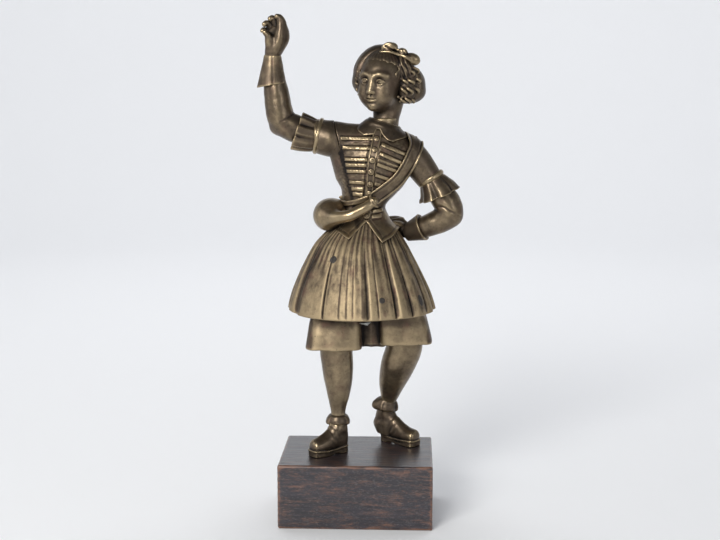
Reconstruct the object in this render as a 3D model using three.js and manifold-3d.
// A patinated bronze statuette of a child in old-fashioned dress, on a stained wooden block.
//
// Units are millimetres. +X is the figure's left, +Y points to its back and +Z is up. The origin
// is the centre of the block's underside. The figure is cast in sections. Each section plugs into
// the next with a round tenon in a socket, and a threaded stud under each boot holds the figure to
// the block.

import * as THREE from "three";
import { mergeVertices } from "three/addons/utils/BufferGeometryUtils.js";
import Module from "manifold-3d";

const wasm = await Module();
wasm.setup();

// ---------------------------------------------------------------- driving dimensions

const GAP = 0.3; // clearance between any two pieces that meet
const BLOCK = { width: 90, depth: 66, height: 38, edge: 1.2 };
const STUD = { radius: 2, bottom: 3, top: 45 }; // M4, from inside the counterbore into the boot
const COUNTERBORE = { radius: 7, depth: 12 };
const WASHER = { radius: 4.5, thickness: 0.8 };
const NUT = { acrossCorners: 8.1, height: 3.2 };
const STUD_PLACES = { right: [-14.5, -6.5], left: [22, 18] };

const BOOT = { length: 28, ankleTop: 57, ankleRadius: 5.4, shaftFromHeel: 6.5 };
const RIGHT_BOOT = { heel: [-4.5, 0.5], turn: 214 }; // turn is the toe's direction, in degrees from +X
const LEFT_BOOT = { heel: [11, 26.5], turn: -36 };

const HEM_HEIGHT = 124;
const SKIRT_TOP = 176;
const SKIRT_WALL = 3;
const PLEATS = 24;
const WAIST_AXIS = [6.5, 0]; // where the skirt, breeches and bodice share one vertical joint
const NECK_AXIS = [15, 0];

// ---------------------------------------------------------------- materials

const bronze = new THREE.MeshStandardMaterial({ color: 0x6f5c3a, roughness: 0.42, metalness: 0.9 });
const darkBronze = new THREE.MeshStandardMaterial({ color: 0x3a332a, roughness: 0.5, metalness: 0.8 });
const wood = new THREE.MeshStandardMaterial({ color: 0x3b2c2a, roughness: 0.75, metalness: 0 });
const steel = new THREE.MeshStandardMaterial({ color: 0x9a9a98, roughness: 0.4, metalness: 1 });

// ---------------------------------------------------------------- solids from geometry and back

function toSolid(geometry) {
  const bare = geometry.index ? geometry.toNonIndexed() : geometry.clone();
  bare.deleteAttribute("normal");
  bare.deleteAttribute("uv");
  const merged = mergeVertices(bare, 1e-4);
  const triVerts = new Uint32Array(merged.index.array);
  const build = () =>
    new wasm.Manifold(
      new wasm.Mesh({ numProp: 3, vertProperties: merged.attributes.position.array, triVerts }),
    );
  const solid = build();
  if (solid.volume() > 0) return solid;
  for (let i = 0; i < triVerts.length; i += 3) {
    [triVerts[i + 1], triVerts[i + 2]] = [triVerts[i + 2], triVerts[i + 1]];
  }
  return build();
}

function toGeometry(solid) {
  const mesh = solid.getMesh();
  const positions = new Float32Array(mesh.numVert * 3);
  for (let i = 0; i < mesh.numVert; i++) {
    positions.set(mesh.vertProperties.subarray(i * mesh.numProp, i * mesh.numProp + 3), i * 3);
  }
  const geometry = new THREE.BufferGeometry();
  geometry.setAttribute("position", new THREE.BufferAttribute(positions, 3));
  geometry.setIndex(new THREE.BufferAttribute(mesh.triVerts, 1));
  geometry.computeVertexNormals();
  return geometry;
}

// The largest body of a solid: a cut can leave loose crumbs behind.
function mainBody(solid) {
  const bodies = solid.decompose();
  return bodies.reduce((best, body) => (body.volume() > best.volume() ? body : best));
}

const cutBy = (solid, ...cutters) => cutters.reduce((left, cutter) => left.subtract(cutter), solid);
const joined = (...solids) => solids.reduce((whole, solid) => whole.add(solid));

// ---------------------------------------------------------------- shape builders

// A closed skin over rings of equally many points, with a fan over each end.
function skin(rings) {
  const sides = rings[0].length;
  const points = rings.flat();
  const triangles = [];
  for (let r = 0; r + 1 < rings.length; r++) {
    for (let s = 0; s < sides; s++) {
      const a = r * sides + s;
      const b = r * sides + ((s + 1) % sides);
      triangles.push(a, b, b + sides, a, b + sides, a + sides);
    }
  }
  for (const [start, order] of [[0, -1], [(rings.length - 1) * sides, 1]]) {
    const ring = points.slice(start, start + sides);
    const middle = ring.reduce((sum, p) => sum.add(p), new THREE.Vector3()).divideScalar(sides);
    points.push(middle);
    for (let s = 0; s < sides; s++) {
      const pair = [start + s, start + ((s + 1) % sides)];
      triangles.push(points.length - 1, ...(order > 0 ? pair : pair.reverse()));
    }
  }
  const geometry = new THREE.BufferGeometry().setFromPoints(points);
  geometry.setIndex(triangles);
  return toSolid(geometry);
}

// Horizontal ovals piled up: each level is [z, centre x, centre y, half width, half depth].
// spread(angle, level) may move a point in or out; angle 0 is the figure's left, 90 its back.
function stack(levels, { grow = 0, sides = 20, spread = null } = {}) {
  const last = levels.length - 1;
  return skin(
    levels.map(([z, cx, cy, rx, ry], level) => {
      const lift = level === 0 ? -grow : level === last ? grow : 0;
      return Array.from({ length: sides }, (_, s) => {
        const angle = (s / sides) * 2 * Math.PI;
        const [out, up] = spread ? spread(angle, level) : [0, 0];
        const x = cx + (rx + grow + out) * Math.cos(angle);
        const y = cy + (ry + grow + out) * Math.sin(angle);
        return new THREE.Vector3(x, y, z + lift + up);
      });
    }),
  );
}

// A round tube through joints [x, y, z, radius], smooth between them. pleat(angle, share) may
// scale the radius at a place round the tube and along it.
function limb(joints, { grow = 0, sides = 14, steps = 10, pleat = null } = {}) {
  const curve = new THREE.CatmullRomCurve3(joints.map(([x, y, z]) => new THREE.Vector3(x, y, z)));
  const frames = curve.computeFrenetFrames(steps);
  const radiusAt = (share) => {
    const place = Math.min(share * (joints.length - 1), joints.length - 1 - 1e-9);
    const i = Math.floor(place);
    return THREE.MathUtils.lerp(joints[i][3], joints[i + 1][3], place - i);
  };
  return skin(
    Array.from({ length: steps + 1 }, (_, i) => {
      const share = i / steps;
      const place = curve.getUtoTmapping(share);
      const push = i === 0 ? -grow : i === steps ? grow : 0;
      const centre = curve.getPoint(place).addScaledVector(frames.tangents[i], push);
      return Array.from({ length: sides }, (_, s) => {
        const angle = (s / sides) * 2 * Math.PI;
        const radius = radiusAt(place) * (pleat ? pleat(angle, share) : 1) + grow;
        return centre
          .clone()
          .addScaledVector(frames.normals[i], radius * Math.cos(angle))
          .addScaledVector(frames.binormals[i], radius * Math.sin(angle));
      });
    }),
  );
}

const peg = (from, to, radius, grow = 0, sides = 14) =>
  limb([[...from, radius], [...to, radius]], { grow, sides, steps: 1 });

function ellipsoid([x, y, z], [rx, ry, rz], { grow = 0, turn = 0, tilt = 0, sides = 12 } = {}) {
  const ball = new THREE.SphereGeometry(1, sides, Math.round(sides * 0.7));
  ball.rotateX(Math.PI / 2);
  ball.scale(rx + grow, ry + grow, rz + grow);
  ball.rotateY(THREE.MathUtils.degToRad(tilt));
  ball.rotateZ(THREE.MathUtils.degToRad(turn));
  ball.translate(x, y, z);
  return toSolid(ball);
}

function box([x0, y0, z0], [x1, y1, z1]) {
  const solid = new THREE.BoxGeometry(x1 - x0, y1 - y0, z1 - z0);
  solid.translate((x0 + x1) / 2, (y0 + y1) / 2, (z0 + z1) / 2);
  return toSolid(solid);
}

// A closed outline in the X-Z plane, pushed along Y from front to back.
function slabInXZ(outline, front, back) {
  const shape = new THREE.Shape(outline.map(([x, z]) => new THREE.Vector2(x, z)));
  const slab = new THREE.ExtrudeGeometry(shape, { depth: back - front, bevelEnabled: false });
  slab.rotateX(Math.PI / 2);
  slab.translate(0, back, 0);
  return toSolid(slab);
}

// A band of even width that follows a smooth line in the X-Z plane.
function ribbonOutline(line, width, steps = 12) {
  const curve = new THREE.SplineCurve(line.map(([x, z]) => new THREE.Vector2(x, z)));
  const sides = [[], []];
  for (let i = 0; i <= steps; i++) {
    const middle = curve.getPoint(i / steps);
    const along = curve.getTangent(i / steps);
    sides[0].push([middle.x - (along.y * width) / 2, middle.y + (along.x * width) / 2]);
    sides[1].push([middle.x + (along.y * width) / 2, middle.y - (along.x * width) / 2]);
  }
  return [...sides[0], ...sides[1].reverse()];
}

// Value of one column of a level table at a height.
function columnAt(levels, z, column) {
  const upper = Math.min(Math.max(levels.findIndex((level) => level[0] >= z), 1), levels.length - 1);
  const [low, high] = [levels[upper - 1], levels[upper]];
  return THREE.MathUtils.lerp(low[column], high[column], (z - low[0]) / (high[0] - low[0]));
}

// ---------------------------------------------------------------- the scene graph

const figurine = new THREE.Group();
const assemblies = {};
for (const name of ["base", "legs", "costume", "right_arm", "left_arm", "head"]) {
  assemblies[name] = new THREE.Group();
  figurine.add(assemblies[name]);
}

// Adds one piece. Its mesh sits at its own pivot, and the shape is stored about that pivot.
function addPiece(assembly, name, solid, material, pivot = [0, 0, 0]) {
  const geometry = toGeometry(mainBody(solid));
  geometry.translate(...pivot.map((value) => -value));
  const mesh = new THREE.Mesh(geometry, material);
  mesh.name = name;
  mesh.position.set(...pivot);
  assemblies[assembly].add(mesh);
}

// ---------------------------------------------------------------- base and its fixings

function addBase() {
  const { width, depth, height, edge } = BLOCK;
  const outline = new THREE.Shape();
  outline.moveTo(-width / 2 + edge, -depth / 2 + edge);
  outline.lineTo(width / 2 - edge, -depth / 2 + edge);
  outline.lineTo(width / 2 - edge, depth / 2 - edge);
  outline.lineTo(-width / 2 + edge, depth / 2 - edge);
  outline.closePath();
  const rounding = { bevelThickness: edge, bevelSize: edge, bevelSegments: 2 };
  const slab = new THREE.ExtrudeGeometry(outline, { depth: height - 2 * edge, ...rounding });
  slab.translate(0, 0, edge);
  let block = toSolid(slab);
  for (const [side, [x, y]] of Object.entries(STUD_PLACES)) {
    const { radius, bottom, top } = STUD;
    block = cutBy(
      block,
      peg([x, y, -1], [x, y, COUNTERBORE.depth], COUNTERBORE.radius, 0, 32),
      peg([x, y, -1], [x, y, height + 1], radius, GAP),
    );
    const washerTop = COUNTERBORE.depth - GAP;
    const nutTop = washerTop - WASHER.thickness - GAP;
    const stud = peg([x, y, bottom], [x, y, top], radius);
    const hole = peg([x, y, -1], [x, y, height], radius, GAP);
    const washer = peg([x, y, washerTop - WASHER.thickness], [x, y, washerTop], WASHER.radius);
    const nut = peg([x, y, nutTop - NUT.height], [x, y, nutTop], NUT.acrossCorners / 2, 0, 6);
    addPiece("base", `foot_stud_${side}`, stud, steel, [x, y, bottom]);
    addPiece("base", `foot_washer_${side}`, cutBy(washer, hole), steel, [x, y, washerTop]);
    addPiece("base", `foot_nut_${side}`, cutBy(nut, hole), steel, [x, y, nutTop]);
  }
  addPiece("base", "wood_block", block, wood);
}

// ---------------------------------------------------------------- legs and boots

// Levels are [z, centre x, centre y, half width, half depth], from the ankle up.
const RIGHT_LEG = [
  [BOOT.ankleTop + GAP, -11.2, -2.2, 3.9, 4.2],
  [62, -11.2, -2.2, 3.9, 4.3],
  [66, -11.3, -2, 4.9, 5.2],
  [75, -11.3, -1.4, 7.5, 7.8],
  [84, -11.5, -1, 9.2, 9.6],
  [91, -11.7, -1.2, 9.4, 9.6],
  [101, -12.3, -2, 9.9, 9.9],
];
const LEFT_LEG = [
  [BOOT.ankleTop + 4 + GAP, 16.6, 20.5, 4.1, 4.3],
  [66, 17, 19.6, 4.5, 4.7],
  [74, 17.8, 17.2, 5.7, 6],
  [82, 20, 14.3, 7.8, 8.1],
  [90, 22.4, 11.5, 9.7, 9.8],
  [96, 24.4, 9.5, 10.1, 10],
  [103, 25.8, 8, 10.4, 10.2],
];
const LEG_TENON = { radius: 5, length: 9 };
const ANKLE_TENON = { radius: 2.4, length: 6 };

function legSolid(levels, grow = 0) {
  const [footZ, footX, footY] = levels[0];
  const [topZ, topX, topY] = levels[levels.length - 1];
  const { radius: r, length } = LEG_TENON;
  return joined(
    stack(levels, { grow, sides: 18 }),
    peg([topX, topY, topZ - 2], [topX, topY, topZ + length], r, grow),
    peg([footX, footY, footZ - ANKLE_TENON.length], [footX, footY, footZ + 2], ANKLE_TENON.radius, grow),
  );
}

// A boot pointing along +X with its heel at the origin: a sole, a foot and an upright shaft.
function bootSolid(height, shaftLean) {
  const { length, shaftFromHeel, ankleRadius } = BOOT;
  const floor = BLOCK.height + GAP;
  const soleHalf = (share) => 4.2 + 1.5 * Math.sin(Math.PI * Math.min(share * 1.1, 1)) * share;
  const section = (share, low, high, wider) =>
    Array.from({ length: 14 }, (_, s) => {
      const angle = (s / 14) * 2 * Math.PI;
      const nose = Math.sin(Math.acos(Math.min(Math.abs(share * 2 - 1), 0.97)));
      const half = (soleHalf(share) + wider) * Math.pow(nose, 0.35);
      const squared = (value) => Math.sign(value) * Math.pow(Math.abs(value), 0.7);
      const z = (low + high) / 2 + (squared(Math.sin(angle)) * (high - low)) / 2;
      return new THREE.Vector3(share * length, half * squared(Math.cos(angle)), z);
    });
  const shares = [0.02, 0.1, 0.25, 0.45, 0.65, 0.82, 0.93, 0.99];
  const upperTop = [11, 12, 13, 12, 9.6, 8, 7, 5.2];
  const sole = skin(shares.map((share) => section(share, floor, floor + 2.6, 0.5)));
  const foot = skin(shares.map((share, i) => section(share, floor + 1, floor + upperTop[i], 0)));
  const shaft = stack(
    [
      [floor + 3, shaftFromHeel, 0, 6, 4.6],
      [floor + 9, shaftFromHeel, 0, 6.6, 5],
      [floor + 14, shaftFromHeel - shaftLean * 0.6, 0, 5.6, 5],
      [height, shaftFromHeel - shaftLean, 0, ankleRadius, ankleRadius - 0.4],
    ],
    { sides: 18 },
  );
  return joined(sole, foot, shaft);
}

function placedBoot({ heel, turn }, height, shaftLean) {
  return bootSolid(height, shaftLean).rotate([0, 0, turn]).translate([heel[0], heel[1], 0]);
}

// The turned-down cuff that hides the joint between leg and boot.
function cuffRing(x, y, z, leg, boot) {
  const levels = [
    [z - 3, x, y, 6.6, 6.6],
    [z - 2.4, x, y, 7.6, 7.5],
    [z, x, y, 7.4, 7.3],
    [z + 2.4, x, y, 5.6, 5.7],
    [z + 3, x, y, 4.8, 5],
  ];
  return cutBy(stack(levels, { sides: 18 }), leg, boot);
}

function addLegs() {
  const sets = [
    { side: "right", levels: RIGHT_LEG, boot: RIGHT_BOOT, height: BOOT.ankleTop, lean: 1.2 },
    { side: "left", levels: LEFT_LEG, boot: LEFT_BOOT, height: BOOT.ankleTop + 4, lean: 0.6 },
  ];
  for (const { side, levels, boot, height, lean } of sets) {
    const [ankleZ, x, y] = levels[0];
    const [sx, sy] = STUD_PLACES[side];
    const bootBody = placedBoot(boot, height, lean);
    const bootCut = cutBy(
      bootBody,
      legSolid(levels, GAP),
      peg([sx, sy, BLOCK.height - 1], [sx, sy, STUD.top], STUD.radius, GAP),
    );
    const inflated = joined(
      stack([[height - 8, x, y, 6, 6], [height + GAP, x, y, 6, 6]], { sides: 18 }),
      bootBody,
    );
    const cuff = cuffRing(x, y, ankleZ + 0.4, legSolid(levels, GAP), inflated);
    addPiece("legs", `boot_${side}`, bootCut, bronze, [boot.heel[0], boot.heel[1], BLOCK.height]);
    addPiece("legs", `boot_cuff_${side}`, cuff, bronze, [x, y, ankleZ]);
    addPiece("legs", `leg_${side}`, legSolid(levels), bronze, [x, y, ankleZ]);
  }
}

// ---------------------------------------------------------------- breeches, skirt and bodice

const BREECHES_RIGHT = [
  [102.5, -13.4, -3, 16.4, 14.5],
  [106, -13.4, -3, 16.2, 14.4],
  [118, -12.6, -2, 15.6, 14],
  [132, -9, 0, 12, 11],
];
const BREECHES_LEFT = [
  [104.5, 28.4, 5, 15.8, 14.5],
  [108, 28.2, 5, 15.7, 14.4],
  [119, 26, 3, 15, 13.6],
  [132, 21, 1, 12, 11],
];
const SEAT = [
  [108, 7, 2, 12, 8],
  [114, 7, 1, 18, 11],
  [132, 6.5, 0, 20, 12],
  [140, 6.5, 0, 10, 9],
];
const POST = { radius: 6.5, top: 169 }; // rises inside the skirt
const POST_TENON = { radius: 4.2, top: 183 };

function breechesSolid(grow = 0) {
  const [x, y] = WAIST_AXIS;
  return joined(
    stack(BREECHES_RIGHT, { grow, sides: 20 }),
    stack(BREECHES_LEFT, { grow, sides: 20 }),
    stack(SEAT, { grow, sides: 20 }),
    peg([x, y, 130], [x, y, POST.top], POST.radius, grow),
    peg([x, y, POST.top - 1], [x, y, POST_TENON.top], POST_TENON.radius, grow),
  );
}

const SKIRT = [
  [HEM_HEIGHT, 2.3, -1, 42.3, 37],
  [130, 2, -1, 41.4, 36.3],
  [139.5, 1.7, -1, 38.4, 33.8],
  [149, 1.3, -1, 34.2, 30],
  [158.5, 1.6, -1, 29, 25],
  [167, 3, -0.5, 23, 19.5],
  [172, 4.5, 0, 18.5, 15.5],
  [SKIRT_TOP, 6, 0, 15, 12.5],
];
const SKIRT_BOSS = { radius: 8.5, top: 186 }; // the skirt's own tenon, inside the bodice

function skirtOuter(grow = 0) {
  const depth = [1.4, 1.4, 1.3, 1.2, 1, 0.7, 0.3, 0];
  const pleats = (angle, level) => [depth[level] * Math.sin(PLEATS * angle), 0];
  return stack(SKIRT, { grow, sides: PLEATS * 3, spread: pleats });
}

function skirtSolid() {
  const [x, y] = WAIST_AXIS;
  const inside = SKIRT.slice(0, 6).map(([z, cx, cy, rx, ry]) => {
    const wall = SKIRT_WALL + 0.6;
    return [z, cx, cy, rx - wall, ry - wall];
  });
  inside[0][0] -= 2;
  const boss = peg([x, y, SKIRT_TOP - 3], [x, y, SKIRT_BOSS.top], SKIRT_BOSS.radius);
  return joined(cutBy(skirtOuter(), stack(inside, { sides: 24 })), boss);
}

const TORSO = [
  [170, 8.5, 0, 20, 15.5],
  [178, 8, 0, 17.6, 13.6],
  [187, 6.5, 0, 14.7, 12.3],
  [196, 7.8, -0.3, 17.6, 13.6],
  [206, 9.3, -0.6, 22.3, 15.2],
  [215, 11, -0.6, 24.6, 15.3],
  [223, 12.2, -0.2, 24, 13.6],
  [229, 13.4, 0, 19, 11.4],
  [233, 14.4, 0, 12, 9.6],
  [236.5, 15, 0, 8.6, 8.6],
];

const torso = (grow = 0) => stack(TORSO, { grow, sides: 24 });

// The bodice's flared lower edge: pointed tabs in front and behind, with a notch between them.
function peplum(grow = 0) {
  const rim = [
    [174, 8.6, 0, 23.6, 18.6],
    [176.4 + 2 * grow, 8.4, 0, 21, 16.6],
    [181 + 2 * grow, 7.4, 0, 16.6, 13.2],
  ];
  const tab = (angle, level) => {
    const fromFront = Math.abs(Math.sin(angle)) * Math.abs(Math.cos(angle)) * 2;
    const drop = level === 0 ? 6 * fromFront * Math.abs(Math.sin(angle)) - 1 : 0;
    return [0, -drop];
  };
  return stack(rim, { grow, sides: 28, spread: tab });
}

const ARM_TENONS = {
  right: { inner: [2, 0, 221.5], outer: [-18, 0, 223], radius: 5.5 },
  left: { inner: [22, 0, 218], outer: [37, 0, 214], radius: 5.5 },
};
const NECK_TENON = { radius: 4.6, bottom: 224 };

const armTenon = (side, grow = 0) => {
  const { inner, outer, radius } = ARM_TENONS[side];
  return peg(inner, outer, radius, grow);
};

const neckTenon = (grow = 0) =>
  peg([...NECK_AXIS, NECK_TENON.bottom], [...NECK_AXIS, 240], NECK_TENON.radius, grow);

const FRONT_STRAP = [
  [28, 238], [31.4, 229], [34.4, 222.6], [32.7, 217], [29.6, 209.7], [24.3, 202], [18, 196.8], [12.4, 192.4],
];
const BACK_STRAP = [[28, 238], [31, 228], [28, 212], [14, 198], [-2, 190], [-12, 187]];
const WAIST_SLING = [[10, 192.4], [3, 189.4], [-5, 187.2], [-12, 187]];
const STRAP_WIDTH = 8.2;

// What lies under a ribbon laid on a body, seen from the front or the back: the body grown by the
// ribbon's thickness, within the ribbon's outline.
function underRibbon(body, line, width, thickness, front, grow = 0) {
  const outline = ribbonOutline(line, width + 2 * grow);
  const reach = front ? slabInXZ(outline, -30, 0) : slabInXZ(outline, 0, 30);
  return body(thickness + grow).intersect(reach);
}

const chestAndShoulder = (grow = 0) => torso(grow).add(leftSleeve(grow));
const shoulderStrap = (grow = 0) =>
  joined(
    underRibbon(chestAndShoulder, FRONT_STRAP, STRAP_WIDTH, 2, true, grow),
    underRibbon(chestAndShoulder, BACK_STRAP, STRAP_WIDTH, 2, false, grow),
  );
const waistSling = (grow = 0) => underRibbon(torso, WAIST_SLING, 3, 1.3, true, grow);

// Braid bars cast on the chest, each from an outer end to the front opening.
const BRAID = { width: 2.3, height: 0.9 };
const BRAIDS = [
  [[-9.6, 225.7], [9.5, 225.7]],
  [[-8.1, 220], [8.4, 220.1]],
  [[-7.1, 213.3], [6.8, 213.3]],
  [[-5.6, 207.2], [6, 207.2]],
  [[-4.5, 200.6], [5.4, 200.2]],
  [[14, 223], [28.1, 216.9]],
  [[12.8, 218.4], [26.2, 212.7]],
  [[11.4, 212.8], [24.7, 207.1]],
  [[10.4, 205.7], [19.4, 202.5]],
];

// The flat collar: the skin of the shoulders within a ring round the neck.
function collarSolid(grow = 0) {
  const [x, y] = NECK_AXIS;
  const reach = stack([[221, x - 1, y - 3, 14.6, 14], [238, x - 1, y - 3, 14.6, 14]], { grow, sides: 24 });
  const opening = slabInXZ([[12.4, 229], [8, 220], [16.8, 220]], -30, 0);
  const layer = torso(1.7 + grow).intersect(reach).intersect(box([-20, -30, 227.6 - grow], [50, 30, 237]));
  return grow > 0 ? layer : cutBy(layer, opening, torso(GAP));
}

// Buttons down the front opening, top to bottom, as [x, z].
const BUTTONS = [
  [11.6, 224.5], [10.5, 219.2], [9.4, 213.6], [8.6, 206.9], [8, 200], [7.6, 194.4], [6.1, 181.7],
];
const PLACKET = [[12.4, 229], [11, 222.4], [9.2, 213.3], [8.2, 202], [7.6, 192], [6.2, 182], [5.9, 178]];
const BUTTON_RADIUS = 1.5;

const torsoFront = (x, z) => {
  const [cx, cy, rx, ry] = [1, 2, 3, 4].map((column) => columnAt(TORSO, z, column));
  return cy - ry * Math.sqrt(Math.max(0, 1 - ((x - cx) / rx) ** 2));
};

function buttonBand() {
  const band = underRibbon(torso, PLACKET, 4.8, 1.2, true);
  const domes = BUTTONS.map(([x, z]) => {
    const size = [BUTTON_RADIUS, BUTTON_RADIUS * 0.8, BUTTON_RADIUS];
    return ellipsoid([x, torsoFront(x, z) - 1.3, z], size, { sides: 8 });
  });
  return joined(band, ...domes);
}

function addCostume() {
  const sockets = ["right", "left"].map((side) => armTenon(side, GAP));
  const boss = peg([...WAIST_AXIS, SKIRT_TOP - 4], [...WAIST_AXIS, SKIRT_BOSS.top], SKIRT_BOSS.radius, GAP);
  const braids = BRAIDS.map((line) => underRibbon(torso, line, BRAID.width, BRAID.height, true));
  const placketRoom = underRibbon(torso, PLACKET, 4.8, 1.2, true, GAP);
  const braidRelief = cutBy(joined(...braids), placketRoom, rightSleeve(GAP), shoulderStrap(GAP));
  const bodice = cutBy(
    joined(torso(), peplum(), braidRelief),
    skirtOuter(GAP),
    boss,
    neckTenon(GAP),
    ...sockets,
  );
  const breechesCut = breechesSolid(GAP);
  const skirt = cutBy(skirtSolid(), breechesCut, ...SKIRT_PLUGS.map(plugHole));
  const legs = joined(legSolid(RIGHT_LEG, GAP), legSolid(LEFT_LEG, GAP));
  const breeches = cutBy(breechesSolid(), legs, solderBead(GAP));
  const strapCutters = [chestAndShoulder(GAP), collarSolid(GAP), rightSleeve(GAP), flaskBody(GAP)];
  const waistCut = [peplum(GAP), skirtOuter(GAP)];

  addPiece("costume", "breeches", breeches, bronze, [...WAIST_AXIS, 102]);
  addPiece("costume", "skirt", skirt, bronze, [...WAIST_AXIS, HEM_HEIGHT]);
  addPiece("costume", "bodice", bodice, bronze, [...WAIST_AXIS, SKIRT_TOP]);
  addPiece("costume", "collar", cutBy(collarSolid(), neckTenon(2)), bronze, [...NECK_AXIS, 233]);
  const strap = cutBy(shoulderStrap(), ...strapCutters, ...waistCut);
  addPiece("costume", "shoulder_strap", strap, bronze, [33, 0, 217]);
  const sling = cutBy(waistSling(), ...strapCutters, ...waistCut, shoulderStrap(GAP));
  addPiece("costume", "flask_sling", sling, bronze, [0, -13, 189]);
  const band = cutBy(
    buttonBand(), torso(GAP), peplum(GAP), shoulderStrap(GAP), waistSling(GAP),
    collarSolid(GAP), flaskBody(GAP), flaskRing(GAP),
  );
  addPiece("costume", "button_band", band, bronze, [11, -16, 205]);
  const flask = cutBy(flaskBody(), torso(GAP), peplum(GAP), skirtOuter(GAP), flaskRing(GAP));
  addPiece("costume", "flask", flask, bronze, [-16, -1, 180]);
  const ring = cutBy(flaskRing(), torso(GAP), peplum(GAP), shoulderStrap(GAP));
  addPiece("costume", "flask_mouth_ring", ring, bronze, [10, -19, 188]);
  SKIRT_PLUGS.forEach((plug, i) => {
    const place = plugPlace(plug);
    addPiece("costume", `core_plug_${i + 1}`, plugSolid(plug), darkBronze, place.toArray());
  });
  const bead = cutBy(solderBead(), skirtOuter(GAP));
  addPiece("costume", "solder_bead", bead, steel, [5.5, -13, 119]);
}

// ---------------------------------------------------------------- small costume pieces

const FLASK = [
  [9.6, -18.4, 188, 2.5], [5.6, -19.2, 186.4, 2.9], [0, -19.6, 183.2, 3.5], [-6, -18.8, 180.2, 4],
  [-11, -15, 179, 5.4], [-15, -8.5, 179.4, 8.6], [-16.6, -2, 180, 10.2], [-16.6, 4, 180.4, 8.8],
  [-16.2, 8.4, 180.6, 4],
];
const flaskBody = (grow = 0) => limb(FLASK, { grow, sides: 12, steps: 14 });
const flaskRing = (grow = 0) => peg([10, -18.3, 188.1], [11.4, -18, 188.6], 3.3, grow, 16);

// Round plugs that close the core-pin holes in the skirt wall, as an angle from +X and a height.
const SKIRT_PLUGS = [
  { angle: -117, z: 157.8 },
  { angle: -69, z: 135.6 },
  { angle: -36, z: 134 },
];
const PLUG_RADIUS = 1.9;

function plugPlace({ angle, z }, out = 0) {
  const [cx, cy, rx, ry] = [1, 2, 3, 4].map((column) => columnAt(SKIRT, z, column));
  const turn = THREE.MathUtils.degToRad(angle);
  return new THREE.Vector3(cx + (rx + out) * Math.cos(turn), cy + (ry + out) * Math.sin(turn), z);
}

// A plug runs from just inside the wall to the wall's own outer face.
const plugPeg = (plug, grow) =>
  peg(plugPlace(plug, -SKIRT_WALL).toArray(), plugPlace(plug, 1).toArray(), PLUG_RADIUS, grow, 16);
const plugSolid = (plug) => plugPeg(plug, 0);
const plugHole = (plug) => joined(
  plugPeg(plug, GAP),
  peg(plugPlace(plug, -SKIRT_WALL - 3).toArray(), plugPlace(plug, 4).toArray(), PLUG_RADIUS, GAP, 16),
);

// A smear of soft solder where the breeches meet the skirt, at the front between the legs.
const solderBead = (grow = 0) => ellipsoid([5.5, -11.2, 119.5], [3.4, 1.6, 1.3], { grow });

// ---------------------------------------------------------------- arms

const RIGHT_SLEEVE = [[4, 0, 221], [-6, 0, 221.6], [-15, 0, 223.4], [-24, -0.4, 225.8]].map((p, i) => [
  ...p,
  [9.5, 10.4, 10.2, 10][i],
]);
const LEFT_SLEEVE = [[30, 0, 218, 9], [35.4, 0, 214, 9], [39.6, 0, 208, 8.2], [43.6, 0, 201.8, 7.4]];

const rightSleeve = (grow = 0) => limb(RIGHT_SLEEVE, { grow, sides: 18, steps: 6 });
const leftSleeve = (grow = 0) => limb(LEFT_SLEEVE, { grow, sides: 18, steps: 6 });

// The bare arm from the sleeve's end, round the elbow and up to the wrist.
const RIGHT_FOREARM = [
  [-24.8, -0.5, 226, 7.4], [-33, -1, 229, 7.8], [-40.5, -1.4, 230.6, 8.4], [-46, -2, 234, 8.4],
  [-48, -2.6, 243, 7.6], [-49, -3.2, 253, 7.2], [-49.3, -3.7, 262, 5], [-49.3, -4, 268, 4.4],
];
const LEFT_FOREARM = [
  [44.2, 0, 200.9, 6.6], [49, 0.4, 193, 7.2], [54, 0.4, 185.4, 7.9], [53.4, 0.8, 178.6, 8],
  [46, 2, 175.4, 7.4], [39, 3.6, 173, 6.6], [33.8, 5, 171.6, 5], [30.6, 6, 171, 4.6],
];

const rightForearm = (grow = 0) => limb(RIGHT_FOREARM, { grow, steps: 14 });
const leftForearm = (grow = 0) => limb(LEFT_FOREARM, { grow, steps: 14 });

const ARMS = {
  right: {
    sleeve: rightSleeve,
    forearm: rightForearm,
    forearmTenon: { from: [-18, 0, 224.3], to: [-26, -0.5, 226.4], radius: 4 },
    band: { from: [-22.4, -0.4, 225.2], to: [-25.4, -0.5, 226.1], radius: 11 },
    ruffle: {
      axis: [[-26, -0.5, 226.2], [-30, -0.7, 227.6], [-35, -1, 229.4]],
      radii: [10.4, 11.4, 12.4], pleats: 7,
    },
    cuff: [[-49.9, -3.4, 255.4, 8.3], [-49.6, -3.7, 263, 7], [-49.4, -4, 271.6, 5.5]],
    cuffWall: 1.6,
    wrist: { from: [-49.3, -4, 268.4], to: [-49.2, -4.1, 274], radius: 4.2 },
    wristTenon: { from: [-49.3, -3.9, 264], to: [-49.3, -4, 270], radius: 2.4 },
    hand: rightHand,
  },
  left: {
    sleeve: leftSleeve,
    forearm: leftForearm,
    forearmTenon: { from: [40.5, 0, 206.5], to: [45, 0.1, 199.7], radius: 4 },
    band: { from: [42.3, 0, 203.8], to: [43.9, 0, 201.3], radius: 8.4 },
    ruffle: {
      axis: [[44.2, 0, 200.8], [46.4, 0, 197], [49.2, 0.2, 192]],
      radii: [8, 10.4, 13], pleats: 8,
    },
    cuff: [[39.6, 3.5, 173.4, 8.4], [35, 4.6, 172, 6.8], [30.6, 6, 171, 5.6]],
    cuffWall: 1.5,
    wrist: { from: [30.3, 6.1, 170.9], to: [28.6, 7.2, 171.4], radius: 4.2 },
    wristTenon: { from: [34, 5, 171.7], to: [29.4, 6.6, 171.1], radius: 2.4 },
    hand: leftHand,
  },
};

const pegOf = ({ from, to, radius }, grow = 0) => peg(from, to, radius, grow);

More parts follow.
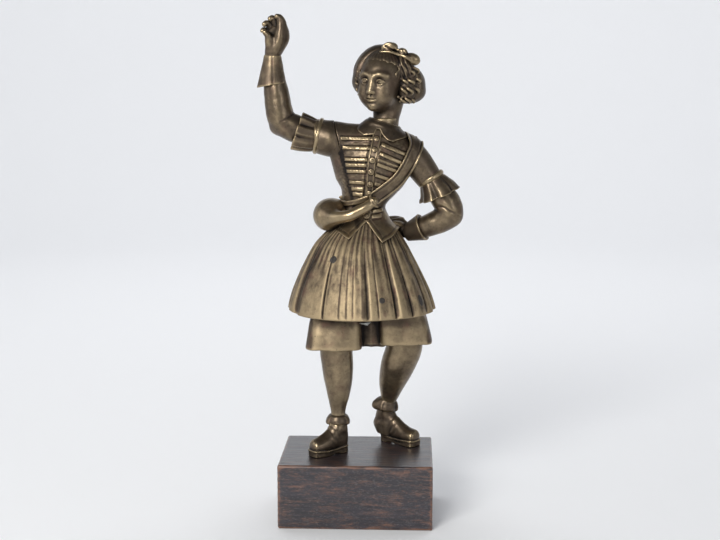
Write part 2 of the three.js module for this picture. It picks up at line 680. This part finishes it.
function ruffleSolid({ axis, radii, pleats }, grow = 0) {
  const joints = axis.map((place, i) => [...place, radii[i]]);
  const wave = (angle, share) => 1 + 0.09 * share * Math.cos(pleats * angle);
  return limb(joints, { grow, sides: pleats * 4, steps: 3, pleat: wave });
}

// The rim end of a flared tube is opened by a slimmer copy of it, pushed out past the rim.
function openedFlare({ axis, radii }, wall, past) {
  const start = new THREE.Vector3(...axis[0]);
  const end = new THREE.Vector3(...axis[axis.length - 1]);
  const along = end.clone().sub(start).normalize();
  const first = start.addScaledVector(along, wall);
  const last = end.addScaledVector(along, past);
  return limb([[...first.toArray(), radii[0] - wall], [...last.toArray(), radii.at(-1) - wall + 0.4]], {
    sides: 18,
    steps: 1,
  });
}

function cuffShell({ cuff, cuffWall }) {
  const outer = limb(cuff, { sides: 18, steps: 3 });
  const [start, , end] = cuff.map(([x, y, z]) => new THREE.Vector3(x, y, z));
  const along = end.clone().sub(start).normalize();
  const mouth = start.clone().addScaledVector(along, -1);
  const inner = limb(
    [[...mouth.toArray(), cuff[0][3] - cuffWall + 0.3], [...end.toArray(), cuff[2][3] - cuffWall]],
    { sides: 18, steps: 1 },
  );
  return { outer, inner };
}

const finger = (points, radius) => limb(points.map((p, i) => [...p, radius - i * 0.18]), { sides: 6, steps: 4 });

function rightHand() {
  return joined(
    ellipsoid([-47.6, -4.4, 279.5], [4.6, 5, 6.6], { tilt: 6 }),
    finger([[-46.4, -6.6, 283.5], [-44.9, -7.4, 289], [-46.4, -7.8, 295]], 1.7),
    finger([[-47.5, -4.4, 284], [-47.8, -4.6, 290], [-50.6, -5, 294.4]], 1.7),
    finger([[-48.6, -2.2, 283.5], [-50, -2, 288], [-53, -2.6, 291]], 1.6),
    finger([[-49.2, -0.4, 281.5], [-51.4, 0, 285], [-53.8, -0.8, 287.4]], 1.5),
    finger([[-49.6, -6.4, 277], [-52.4, -8, 281.4], [-54, -8.4, 285.4]], 1.7),
  );
}

function leftHand() {
  return joined(
    ellipsoid([26.6, 9.6, 174.4], [4.6, 5.4, 5.2], { turn: -30 }),
    finger([[25, 11.5, 176.5], [22, 14.4, 177.4], [18, 16.4, 177]], 1.8),
    finger([[25, 12.4, 173.6], [22, 15.6, 173.6], [18, 17.8, 172.8]], 1.8),
    finger([[26.4, 6, 177], [25.6, 3.4, 180], [24.4, 1, 181.6]], 1.8),
  );
}

function addArms() {
  for (const [side, arm] of Object.entries(ARMS)) {
    const group = `${side}_arm`;
    const other = peplum(GAP).add(skirtOuter(GAP));
    const tenonIn = pegOf(arm.forearmTenon);
    const tenonHole = pegOf(arm.forearmTenon, GAP);
    const forearmRoom = joined(arm.forearm(GAP), tenonHole);
    const sleeve = cutBy(
      joined(cutBy(arm.sleeve(), torso(GAP)), armTenon(side)),
      tenonHole,
    );
    const wristHole = pegOf(arm.wristTenon, GAP);
    const forearm = cutBy(joined(cutBy(arm.forearm(), arm.sleeve(GAP)), tenonIn), wristHole, other);
    const band = cutBy(pegOf(arm.band), arm.sleeve(GAP), forearmRoom, torso(2.6), other);
    const ruffle = cutBy(
      ruffleSolid(arm.ruffle),
      openedFlare(arm.ruffle, 1.6, 1.5),
      forearmRoom,
      arm.sleeve(GAP),
      pegOf(arm.band, GAP),
      torso(2.6),
    );
    const { outer, inner } = cuffShell(arm);
    const handBody = cutBy(joined(arm.hand(), pegOf(arm.wrist), pegOf(arm.wristTenon)), torso(GAP), other);
    const handRoom = joined(pegOf(arm.wrist, GAP), pegOf(arm.wristTenon, GAP));
    const cuff = cutBy(outer, inner, arm.forearm(GAP), handRoom, other, torso(GAP));
    const hand = cutBy(handBody, cutBy(arm.forearm(GAP), wristHole), cuffCut(outer, arm));
    const [elbowX, elbowY, elbowZ] = arm.band.from;
    addPiece(group, `upper_sleeve_${side}`, sleeve, bronze, arm.band.from);
    addPiece(group, `sleeve_band_${side}`, band, bronze, arm.band.to);
    addPiece(group, `sleeve_ruffle_${side}`, ruffle, bronze, arm.ruffle.axis[0]);
    addPiece(group, `forearm_${side}`, forearm, bronze, [elbowX, elbowY, elbowZ]);
    addPiece(group, `gauntlet_${side}`, cuff, bronze, arm.cuff[0].slice(0, 3));
    addPiece(group, `hand_${side}`, hand, bronze, arm.wrist.from);
  }
}

// The part of the cuff's own cone that the hand must keep out of: all but the room round the wrist.
function cuffCut(outer, arm) {
  return cutBy(outer, pegOf(arm.wrist, 0.01), pegOf(arm.wristTenon, 0.01));
}

// ---------------------------------------------------------------- head

const FACE = { centre: [14, -4, 257.6], size: [11.6, 13.6, 16.6], turn: -22, tilt: 5 };
const SKULL = { centre: [16.8, 1.5, 262], size: [13, 14, 15] };

function headSolid(grow = 0) {
  const { centre, size, turn, tilt } = FACE;
  return joined(
    ellipsoid(centre, size, { grow, turn, tilt }),
    ellipsoid(SKULL.centre, SKULL.size, { grow }),
    stack([[237.3, 15, 0, 7.4, 7.6], [242, 15.2, 0, 7, 7.4], [250, 15.6, 0, 8, 8.6]], { grow, sides: 18 }),
    neckTenon(grow),
  );
}

function hairSolid(grow = 0) {
  return joined(
    ellipsoid([29.4, -3.6, 254.8], [6.8, 7.4, 10.4], { grow, tilt: 8 }),
    ellipsoid([3.6, 0.6, 256.4], [4, 6.4, 9], { grow }),
    ellipsoid([17.2, -1.4, 266.4], [13.2, 12.4, 10.4], { grow, tilt: 8 }),
  );
}

// A soft cap worn on the back of the head: a dome with its padded rim facing forward.
function capSolid(grow = 0) {
  const dome = ellipsoid([17.5, 3.4, 261.6], [21.2, 15.6, 18.8], { grow, tilt: 6 });
  return dome.intersect(box([-30, -2.4 - grow, 200], [60, 40, 300]));
}

function bowSolid() {
  return joined(
    ellipsoid([22.6, -2.6, 277], [5.6, 3.6, 3.2], { tilt: 20 }),
    ellipsoid([27.4, -4.2, 273.4], [2.4, 2.6, 2.4]),
    ellipsoid([32.4, -3.4, 270.4], [4.6, 3.4, 3.6], { tilt: 20 }),
  );
}

function addHead() {
  const head = cutBy(headSolid(), collarSolid(GAP));
  const hair = cutBy(hairSolid(), headSolid(GAP));
  const cap = cutBy(capSolid(), headSolid(GAP), hairSolid(GAP));
  const bow = cutBy(bowSolid(), headSolid(GAP), hairSolid(GAP), capSolid(GAP));
  addPiece("head", "head", head, bronze, [...NECK_AXIS, 237]);
  addPiece("head", "hair", hair, bronze, SKULL.centre);
  addPiece("head", "cap", cap, bronze, [17.5, 3.4, 261.6]);
  addPiece("head", "cap_bow", bow, bronze, [27.4, -4.2, 273.4]);
}

addBase();
addLegs();
addCostume();
addArms();
addHead();

export default figurine;
